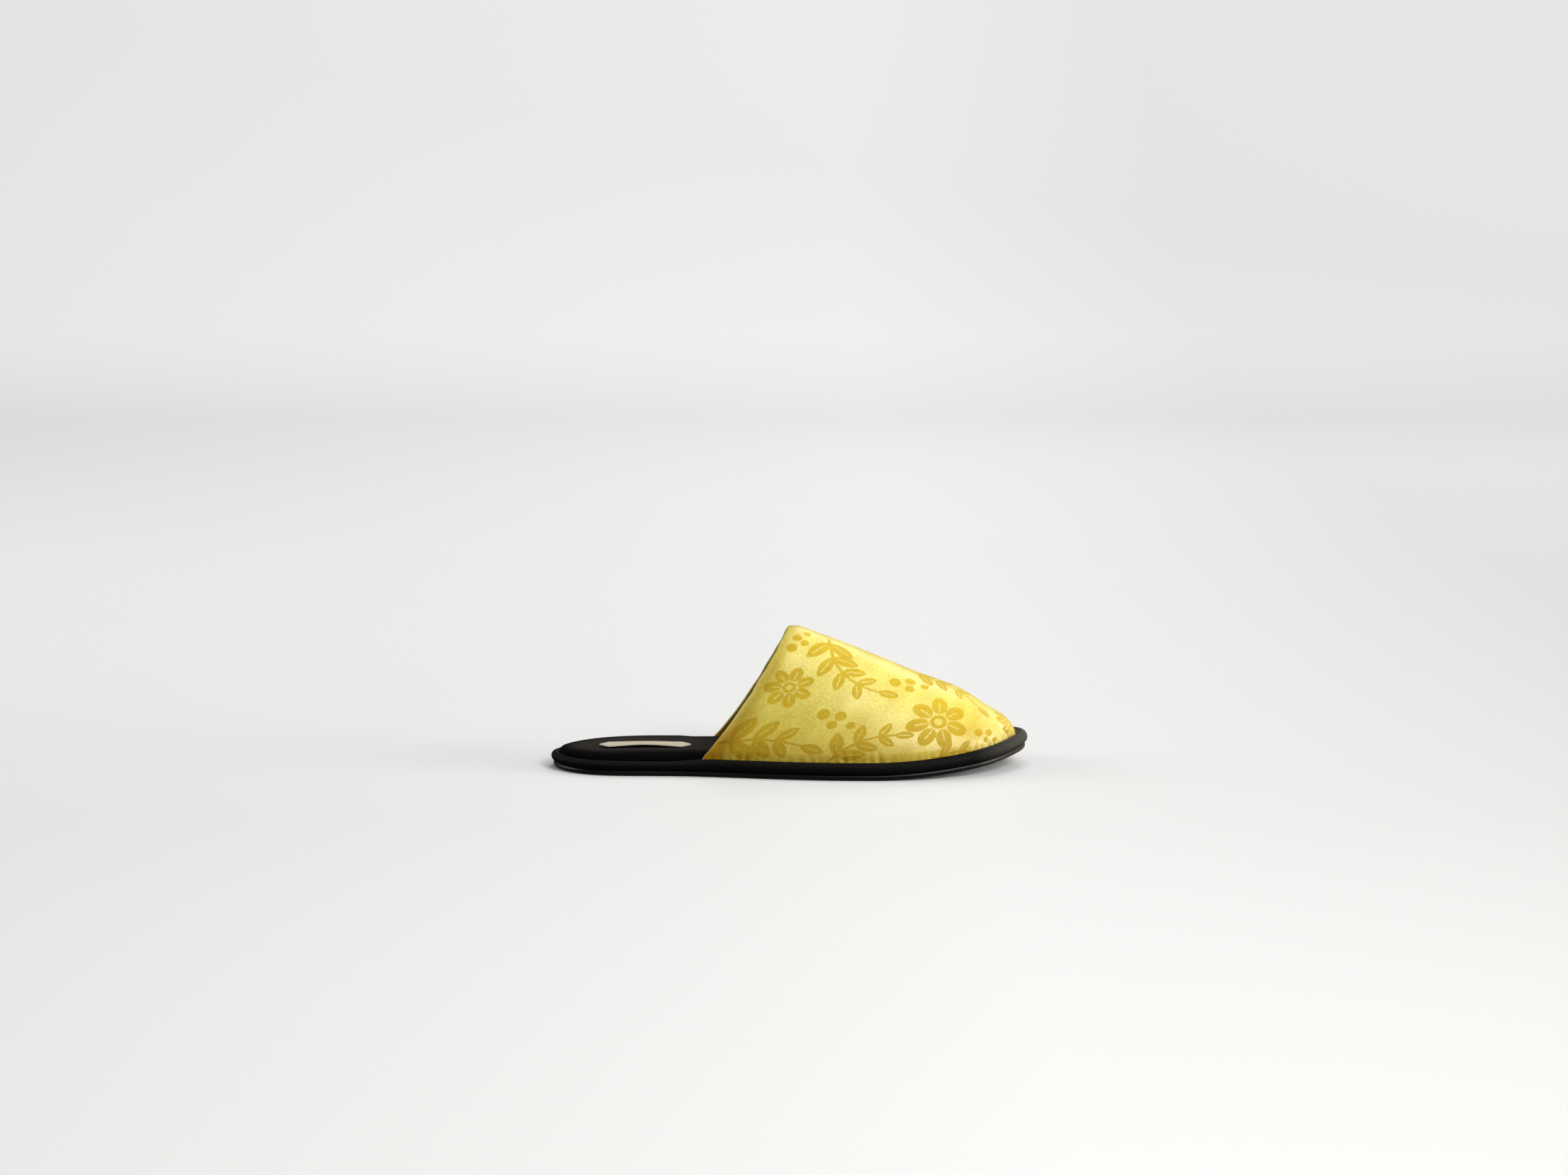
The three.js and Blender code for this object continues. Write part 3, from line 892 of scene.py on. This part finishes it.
def gathers():
    """A row of small gathers, unevenly spaced along the seam."""
    chance = np.random.default_rng(11)
    rows = []
    margin = 0.01
    sizes = (GATHER_DEPTH, GATHER_WIDTH, GATHER_REACH)
    at = FOOT_FROM["lateral"] + margin
    while at < FOOT_FROM["medial"] - margin:
        depth, width, reach = (mean + spread * chance.uniform(-1, 1) for mean, spread in sizes)
        rows.append((at, depth, width, reach, chance.uniform(-0.3, 0.3)))
        at += (GATHER_SPACING[0] + GATHER_SPACING[1] * chance.uniform(-1, 1)) / AROUND
    return rows


def wall_relief(k, v, s, t, away, share):
    """How far the padded cloth stands in or out, in millimetres."""
    sides = np.clip(np.sin(np.pi * v) * 4, 0, 1)
    relief = -COLLAR_ROLL * np.clip(1 - k / ROLL_REACH, 0, 1) ** 2 * sides
    flanks = np.sin(2 * np.pi * v) ** 2
    relief -= FLANK_ROLL * np.clip(1 - s / FLANK_ROLL_REACH, 0, 1) ** FLANK_ROLL_POWER * flanks
    ebb = 1 - smoothstep(away, SWELL_FULL[1], SWELL_END)
    relief += SEAM_SWELL * smoothstep(away, 0, SWELL_FULL[0]) * ebb
    for at, depth, width, reach, lean in PUCKERS + gathers():
        x = (share - at) * AROUND - lean * away
        bank = np.exp(-(((np.abs(x) - FOLD_BANK_AT * width) / width) ** 2))
        fold = np.exp(-((x / width) ** 2)) - FOLD_BANK * bank
        relief -= depth * fold * np.exp(-((away / reach) ** 2)) * smoothstep(away, *FOLD_RISE)
    for at_s, at_t, long, wide, turn, depth in HOLLOWS:
        x, y = turned(s, t, (at_s, at_t), turn)
        hollow = np.exp(-((x / long) ** 2) - (y / wide) ** 2)
        relief -= depth * hollow * smoothstep(away, *HOLLOW_RISE)
    return relief


def collar_waves(v, s, t):
    """How far the collar's edge stands back or forth, fading out over the cloth beside it."""
    edge = t[0]
    wave = sum(
        high * np.sin(2 * np.pi * (edge - start) / long) for high, long, start in COLLAR_WAVES
    )
    return wave * np.sin(2 * np.pi * v) ** 2 * np.clip(1 - s / WAVE_REACH, 0, 1) ** 2


def over_sheet(values):
    """Values of the outer face, laid over all rows and columns of the closed sheet."""
    first, last = values[:1], values[-1:]
    rows = np.concatenate([first, first, values, last, values[::-1], first, first])
    return np.concatenate([rows[:, :1], rows, rows[:, -1:]], 1)


def build_upper():
    k, v, places, s, t = upper_grid()
    away, share = foot_distance(places)
    outer = places + outward(places) * wall_relief(k, v, s, t, away, share)[..., None]
    outer = outer + unit(outer[0] - outer[1]) * collar_waves(v, s, t)[..., None]
    normal = outward(outer)
    normal[..., 2] *= smoothstep(away, 0, FOOT_TURN)
    inner = outer - unit(normal) * WALL
    inner[:, 0] = foot_point(side_share("lateral", k[:, 0]), WALL)
    inner[:, -1] = foot_point(side_share("medial", k[:, 0]), WALL)
    inner[-1] = foot_point(toe_share(v[0]), WALL)

    back = unit(outer[0] - outer[1])
    half = (outer[0] - inner[0]) / 2
    middle = (outer[0] + inner[0]) / 2
    lips = []
    for angle in np.radians(LIP_ANGLES):
        lips.append(middle + half * math.cos(angle) + back * (WALL * LIP * math.sin(angle)))
    rim = (outer[-1] + inner[-1]) / 2
    rows = np.concatenate([[lips[0], lips[1]], outer, [rim], inner[::-1], [lips[2], lips[0]]])
    sole_edge = (outer[:, [0, -1]] + inner[:, [0, -1]]) / 2
    ends = np.repeat(sole_edge[:1], 2, axis=0)
    edge_rows = np.concatenate([ends, sole_edge, sole_edge[-1:], sole_edge[::-1], ends])
    grid = np.concatenate([edge_rows[:, :1], rows, edge_rows[:, 1:]], 1)

    cloth_s = over_sheet(s)
    cloth_t = over_sheet(t)
    piece = pulled_sheet("upper_satin", grid)
    set_uv(piece, "cloth", np.stack([cloth_s, cloth_t], -1) / 100)
    set_values(piece, "figure", figure_distance(cloth_s, cloth_t))
    set_values(piece, "seam", over_sheet(away))
    set_values(piece, "collar", cloth_s)
    dress(piece, "satin", satin_finish(), lining_finish())

    inner_first = 2 + len(outer) + 1
    columns = grid.shape[1] - 1
    face_row = np.arange(len(piece.data.polygons)) // columns
    lined = (face_row >= inner_first - 1) & (cloth_s[face_row, 0] > LINING_START)
    piece.data.polygons.foreach_set("material_index", lined.astype(np.int32))
    sew(piece)
    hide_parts("upper")
    return piece


# Platform, insole and label

RIB_PITCH = 1.08
RIB_PROFILE = (-0.24, -0.04, 0.05, -0.04)
RIB_FADE = 0.35
ROLL_POINTS = 16
SOLE_POINTS = 480
OUTSOLE_EDGE_POINTS = 12
FLANK_POINTS = 22
# Rows of the insole, counted back from its last, where the flank's painted shade, a near-black colour,
# fades in and out.
FLANK_SHADE_FADE = (-31, -27, -20, -9)


def to_spine(flat, stops):
    """Plan rings drawn in from an edge ring to the line midway between both sides."""
    spine = (flat + flat[::-1]) / 2
    return [flat + (spine - flat) * stop for stop in stops]


def closed_shares(count):
    return np.linspace(0, 1, count + 1)


def build_binding():
    steps = len(RIB_PROFILE)
    ribs = round(AROUND / RIB_PITCH)
    shares = closed_shares(ribs * steps)
    rib = np.array(RIB_PROFILE)[np.arange(len(shares)) % steps]
    station = plan(shares)[0][:, 0] / LENGTH + 0.5
    heel_drop = HEEL_DROP * (1 - smoothstep(station, *HEEL_DROP_END))
    roll = Curve(BINDING_ROLL)
    at = np.linspace(0, roll.run[-1], ROLL_POINTS)
    section = roll(at)
    nudge = 0.01
    along = unit((roll(at + nudge) - roll(at - nudge))[:, :2])
    fade = np.sin(np.pi * np.linspace(0, 1, ROLL_POINTS)) ** RIB_FADE
    fade[[0, -1]] = 0
    rows = []
    for (inset, height, drop), (run_in, run_up), share in zip(section, along, fade):
        level = height - heel_drop * np.clip(drop, 0, 1)
        rows.append(on_edge(shares, inset - run_up * rib * share, level + run_in * rib * share))
    rows += [on_edge(shares, inset, height) for inset, height in BINDING_LEDGE]
    rows.append(rows[0])
    piece = pulled_sheet("edge_tape", np.array(rows))
    crest = (rib - min(RIB_PROFILE)) / (max(RIB_PROFILE) - min(RIB_PROFILE))
    set_values(piece, "crest", np.tile(crest, (len(rows), 1)))
    dress(piece, "grosgrain", grosgrain_finish())
    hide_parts("edge_binding")
    return sew(piece)


def build_outsole():
    shares = closed_shares(SOLE_POINTS)
    edge = Curve(OUTSOLE_EDGE)
    section = edge(np.linspace(0, edge.run[-1], OUTSOLE_EDGE_POINTS))
    first = in_plan(shares, section[0][0])
    last = in_plan(shares, section[-1][0])
    rows = [on_sole(flat, 0.0) for flat in to_spine(first, (1, 0.75, 0.5, 0.25))]
    rows += [on_edge(shares, inset, max(height, 0.0)) for inset, height in section]
    rows += [on_sole(flat, OUTSOLE_THICKNESS) for flat in to_spine(last, (0.25, 0.5, 0.75, 1))]
    piece = pulled_sheet("rubber_outsole", np.array(rows))
    dress(piece, "rubber", rubber_finish())
    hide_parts("outsole")
    return sew(piece)


def build_insole():
    shares = closed_shares(SOLE_POINTS)
    at = plan(shares)[0][:, 0] / LENGTH + 0.5
    covered = smoothstep(at, COLLAR_LATERAL - CUSHION_TUCK[0], COLLAR_LATERAL - CUSHION_TUCK[1])
    side = CUSHION_INSET + (CUSHION_INSET_COVERED - CUSHION_INSET) * covered
    full = 1 - HEEL_THINNING * (1 - smoothstep(at, 0, HEEL_THINNING_END))
    seat = LEDGE_HEIGHT + SEAT_GAP
    flank = Curve(CUSHION_FLANK)
    core = in_plan(shares, CORE_INSET)
    rows = [on_sole(flat, PLATFORM_BASE) for flat in to_spine(core, (1, 0.5, 0))]
    rows.append(on_sole(core, seat))
    for inward, height in flank(np.linspace(0, flank.run[-1], FLANK_POINTS)):
        rows.append(on_edge(shares, side, seat + (height - seat) * full, max(inward, 0.0)))
    crown = in_plan(shares, side, CUSHION_FLANK[-1][0])
    height = seat + (SEAT_HEIGHT - seat) * full
    rows += [on_sole(flat, height) for flat in to_spine(crown, (0.2, 0.4, 0.6, 0.8, 1))]
    piece = pulled_sheet("felt_insole", np.array(rows))
    fade = len(rows) + np.array(FLANK_SHADE_FADE)
    flank_shade_rows = np.interp(np.arange(len(rows)), fade, [0, 1, 1, 0])
    set_values(piece, "flank", np.repeat(flank_shade_rows[:, None], len(shares), 1))
    dress(piece, "felt", felt_finish())
    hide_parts("insole")
    return sew(piece)


LABEL_TIP = 0.08  # half-width left at a point, as a share of the full one
LABEL_COLUMNS = 61
LABEL_ROWS = 19
LABEL_BEVEL = 0.00015


def build_label():
    columns = np.linspace(-1, 1, LABEL_COLUMNS)
    along, across = np.meshgrid(columns, np.linspace(-1, 1, LABEL_ROWS))
    to_end = (1 - np.abs(along)) * LABEL["length"] / 2
    pointed = LABEL_TIP + (1 - LABEL_TIP) * np.clip(to_end / LABEL["point"], 0, 1)
    half = LABEL["width"] / 2 * pointed
    flat = np.stack([LABEL["x"] + along * LABEL["length"] / 2, LABEL["y"] + across * half], -1)
    edge_bow = LABEL["outer_bow"] + (LABEL["inner_bow"] - LABEL["outer_bow"]) * (across + 1) / 2
    bow = edge_bow * np.cos(np.pi / 2 * along) ** 2
    height = SEAT_HEIGHT + SEAT_GAP + LABEL["thickness"] + bow
    piece = pulled_sheet("blank_label", on_sole(flat, height))
    cloth = np.stack([along * LABEL["length"] / 2, across * half], -1) / 100
    set_uv(piece, "cloth", cloth)
    add_modifier(piece, "SOLIDIFY", thickness=LABEL["thickness"] * MM, offset=-1)
    add_modifier(piece, "BEVEL", width=LABEL_BEVEL, segments=2, angle_limit=math.radians(50))
    bpy.ops.object.shade_smooth_by_angle(angle=math.radians(40))
    dress(piece, "label_cloth", label_finish())
    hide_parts("heel_label")
    return piece


STITCH_PITCH = 3.6
STITCH_LENGTH = 2.5
STITCH_THICK = 0.45
STITCH_INSET = UPPER_INSET - 0.75
STITCH_HEIGHT = 9.55
STITCH_MARGIN = 0.004  # share of the plan left free at either end of the seam


def build_seam_stitches():
    """One stitch, copied along the seam between the tape and the upper."""
    first = FOOT_FROM["lateral"] + STITCH_MARGIN
    last = FOOT_FROM["medial"] - STITCH_MARGIN
    path = (on_edge(np.linspace(first, last, 700), STITCH_INSET, STITCH_HEIGHT) + SHIFT) * MM
    seam = bpy.data.curves.new("seam_path", "CURVE")
    seam.dimensions = "3D"
    line = seam.splines.new("POLY")
    line.points.add(len(path) - 1)
    line.points.foreach_set("co", np.concatenate([path, np.ones((len(path), 1))], 1).ravel())
    guide = bpy.data.objects.new("seam_path", seam)
    bpy.context.collection.objects.link(guide)
    length = running_length(path)[-1]
    deselect()
    bpy.ops.mesh.primitive_uv_sphere_add(segments=8, ring_count=7, radius=STITCH_THICK / 2 * MM)
    piece = bpy.context.object
    piece.name = piece.data.name = "seam_stitches"
    bpy.ops.object.mode_set(mode="EDIT")
    bpy.ops.mesh.select_all(action="SELECT")
    bpy.ops.transform.resize(value=(STITCH_LENGTH / STITCH_THICK, 1, 1))
    bpy.ops.transform.translate(value=(STITCH_LENGTH / 2 * MM, 0, 0))
    bpy.ops.object.mode_set(mode="OBJECT")
    add_modifier(
        piece,
        "ARRAY",
        count=int(length / (STITCH_PITCH * MM)),
        use_relative_offset=False,
        use_constant_offset=True,
        constant_offset_displace=(STITCH_PITCH * MM, 0, 0),
    )
    add_modifier(piece, "CURVE", object=guide, deform_axis="POS_X")
    bpy.data.objects.remove(guide)
    bpy.ops.object.shade_smooth()
    return dress(piece, "grosgrain", thread_finish())


# Floor, light and camera

# Floor with a bent-up backdrop, in metres.
FLOOR_SIZE = (14, 8, 1)
FLOOR_SHIFT = (0, 0.5, 0)
BACKDROP_HEIGHT = 5
BACKDROP_BEND = 2.0
BACKDROP_FROM = 1  # the edge that lies deeper than this is drawn up


def build_floor():
    deselect()
    bpy.ops.mesh.primitive_plane_add(size=1)
    floor = bpy.context.object
    floor.name = floor.data.name = "floor"
    bpy.ops.object.mode_set(mode="EDIT")
    bpy.ops.mesh.select_all(action="SELECT")
    bpy.ops.transform.resize(value=FLOOR_SIZE)
    bpy.ops.transform.translate(value=FLOOR_SHIFT)
    bpy.ops.object.mode_set(mode="OBJECT")
    for edge in floor.data.edges:
        edge.select = all(floor.data.vertices[i].co.y > BACKDROP_FROM for i in edge.vertices)
    for vertex in floor.data.vertices:
        vertex.select = vertex.co.y > BACKDROP_FROM
    for face in floor.data.polygons:
        face.select = False
    bpy.ops.object.mode_set(mode="EDIT")
    bpy.ops.mesh.select_mode(type="EDGE")
    bpy.ops.mesh.extrude_edges_move(TRANSFORM_OT_translate=dict(value=(0, 0, BACKDROP_HEIGHT)))
    bpy.ops.object.mode_set(mode="OBJECT")
    add_modifier(floor, "BEVEL", width=BACKDROP_BEND, segments=16, angle_limit=math.radians(30))
    bpy.ops.object.shade_smooth()
    floor.data.materials.append(floor_finish())
    floor.visible_diffuse = False
    floor.visible_glossy = False


# Soft lights: name, place, size, power in watts, colour. Each points at the slipper.
LIGHTS = [
    ("side", (5.2, -0.9, 0.9), 2.2, 230, (1.0, 0.98, 0.95)),
    ("key", (1.3, -1.7, 1.5), 1.2, 54, (1.0, 0.99, 0.96)),
    ("top", (0.2, 0.1, 2.2), 1.2, 13, (1.0, 1.0, 1.0)),
    ("back", (0.8, 1.9, 1.8), 1.5, 16, (1.0, 1.0, 1.0)),
    ("fill", (-2.2, 0.3, 0.9), 1.2, 20, (1.0, 1.0, 1.0)),
]
WORLD_LIGHT = 0.12
LOOK_AT = (0.01, 0.0, 0.03)


def build_light():
    for name, place, size, power, colour in LIGHTS:
        deselect()
        bpy.ops.object.light_add(type="AREA", location=place)
        light = bpy.context.object
        light.name = name
        light.data.size = size
        light.data.energy = power
        light.data.color = colour
        aim = Vector(LOOK_AT) - Vector(place)
        light.rotation_euler = aim.to_track_quat("-Z", "Y").to_euler()
    world = bpy.data.worlds.new("studio")
    world.use_nodes = True
    backdrop = world.node_tree.nodes["Background"]
    backdrop.inputs["Color"].default_value = (1, 1, 1, 1)
    backdrop.inputs["Strength"].default_value = WORLD_LIGHT
    bpy.context.scene.world = world
    bpy.context.scene.view_settings.view_transform = "Standard"


def build_camera():
    deselect()
    bpy.ops.object.camera_add(location=CAMERA_AT, rotation=(math.radians(90 - CAMERA_TILT), 0, 0))
    camera = bpy.context.object
    camera.data.lens = CAMERA_LENS
    camera.data.sensor_width = 36
    camera.data.clip_end = 100
    bpy.context.scene.camera = camera


build_camera()
build_light()
build_floor()
build_outsole()
build_binding()
build_insole()
build_upper()
build_label()
build_seam_stitches()
